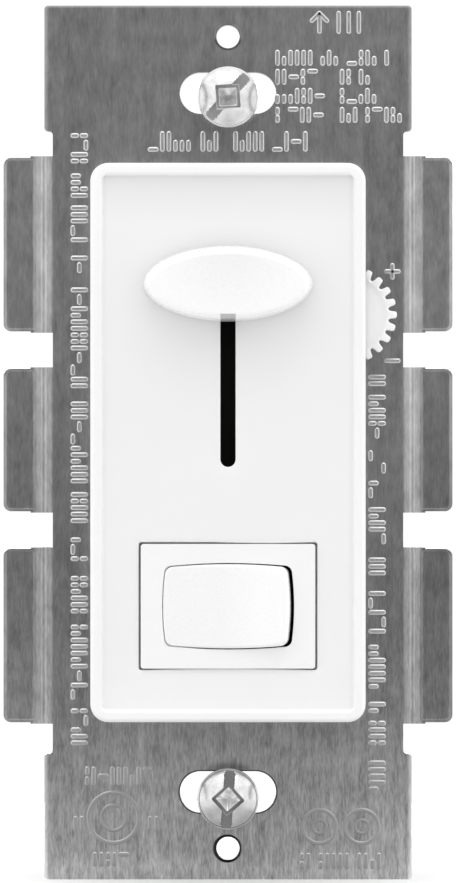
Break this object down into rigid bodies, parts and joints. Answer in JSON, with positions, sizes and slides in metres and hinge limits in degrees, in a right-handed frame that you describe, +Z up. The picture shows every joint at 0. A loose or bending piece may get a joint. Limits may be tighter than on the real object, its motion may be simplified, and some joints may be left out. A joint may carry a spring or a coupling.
{
  "type": "wall box slide dimmer",
  "caption": "Wall-box slide dimmer: metal strap with break-off fins, white face, oval slider knob, rocker switch, trim thumbwheel, rear case with side terminals.",
  "frame": {"origin": "on the strap's rear face, midway between the two box screw slots, where the strap meets the wall", "axes": "+Z up along the strap, +X to the right seen from the front, +Y back into the wall box; the face looks along -Y"},
  "size_m": [0.0536, 0.0407, 0.1042],
  "materials": {
    "white_plastic": "moulded white, soft gloss",
    "strap_metal": "brushed grey",
    "zinc_screw": "bright zinc",
    "black_plastic": "moulded black",
    "case_plastic": "moulded dark grey",
    "tinned_metal": "tinned",
    "contact_brass": "bright brass",
    "screw_brass": "brass",
    "screw_black": "black oxide",
    "screw_green": "green plated",
    "board": "glass laminate",
    "phenolic": "phenolic laminate",
    "ferrite": "ferrite",
    "copper_wire": "enamelled copper",
    "cap_film": "moulded box",
    "resistor_body": "lacquered",
    "glass_body": "sealed glass",
    "silicone_pad": "silicone sheet",
    "fibre_washer": "pressed fibre"
  },
  "bodies": {
    "chassis": {"mounting_strap": "strap_metal", "face_frame": "white_plastic", "slot_liner": "black_plastic", "pot_can": "black_plastic", "pot_base": "phenolic", "pot_element": "phenolic", "pot_pins": "tinned_metal", "rocker_bezel": "white_plastic", "switch_base": "black_plastic", "fixed_contacts": "tinned_metal", "common_terminal": "contact_brass", "traveller_terminals": "contact_brass", "trim_pot_body": "black_plastic", "trim_pot_pins": "tinned_metal", "circuit_board": "board", "thermal_pad": "silicone_pad", "triac_tab": "tinned_metal", "triac_body": "black_plastic", "triac_leads": "tinned_metal", "triac_screw": "zinc_screw", "choke_core": "ferrite", "choke_winding": "copper_wire", "noise_capacitor": "cap_film", "timing_capacitor": "cap_film", "resistors": "resistor_body", "diac": "glass_body", "thermal_fuse": "tinned_metal", "component_leads": "tinned_metal", "rear_case": "case_plastic", "case_screws": "zinc_screw", "terminal_plates": "contact_brass", "traveller_screws": "screw_brass", "common_screw": "screw_black", "ground_screw": "screw_green", "ground_bracket": "strap_metal", "ground_rivet": "zinc_screw"},
    "slider": {"slider_knob": "white_plastic", "slider_carriage": "black_plastic", "pot_wiper": "black_plastic"},
    "rocker": {"rocker_paddle": "white_plastic", "rocker_plunger": "black_plastic", "rocker_spring": "tinned_metal"},
    "see_saw": {"contact_lever": "contact_brass", "moving_contacts": "tinned_metal"},
    "trim": {"trim_wheel": "white_plastic", "trim_shaft": "white_plastic"},
    "upper_carrier": {"upper_retainer": "fibre_washer"},
    "upper_screw": {"upper_box_screw": "zinc_screw"},
    "lower_carrier": {"lower_retainer": "fibre_washer"},
    "lower_screw": {"lower_box_screw": "zinc_screw"}
  },
  "joints": [
    {"name": "slider_travel", "type": "slide", "parent": "chassis", "child": "slider", "axis": [0, 0, -1], "range_m": [0, 0.02]},
    {"name": "rocker_tilt", "type": "hinge", "parent": "chassis", "child": "rocker", "pos_m": [0, -0.0048, -0.01938], "axis": [0, 0, 1], "range_deg": [0, 11]},
    {"name": "see_saw_tilt", "type": "hinge", "parent": "chassis", "child": "see_saw", "pos_m": [0, 0.0029, -0.01938], "axis": [0, 0, -1], "range_deg": [0, 14]},
    {"name": "trim_turn", "type": "hinge", "parent": "chassis", "child": "trim", "pos_m": [0.0142, 0, 0.0152], "axis": [0, 1, 0], "range_deg": [-110, 110]},
    {"name": "upper_shift", "type": "slide", "parent": "chassis", "child": "upper_carrier", "axis": [1, 0, 0], "range_m": [-0.003, 0.003]},
    {"name": "upper_screw_turn", "type": "hinge", "parent": "upper_carrier", "child": "upper_screw", "pos_m": [0, 0, 0.04102], "axis": [0, 1, 0], "continuous": true},
    {"name": "lower_shift", "type": "slide", "parent": "chassis", "child": "lower_carrier", "axis": [1, 0, 0], "range_m": [-0.003, 0.003]},
    {"name": "lower_screw_turn", "type": "hinge", "parent": "lower_carrier", "child": "lower_screw", "pos_m": [0, 0, -0.04232], "axis": [0, 1, 0], "continuous": true}
  ],
  "couplings": [
    {"joint": "see_saw_tilt", "follows": "rocker_tilt", "ratio": 1.2727}
  ]
}
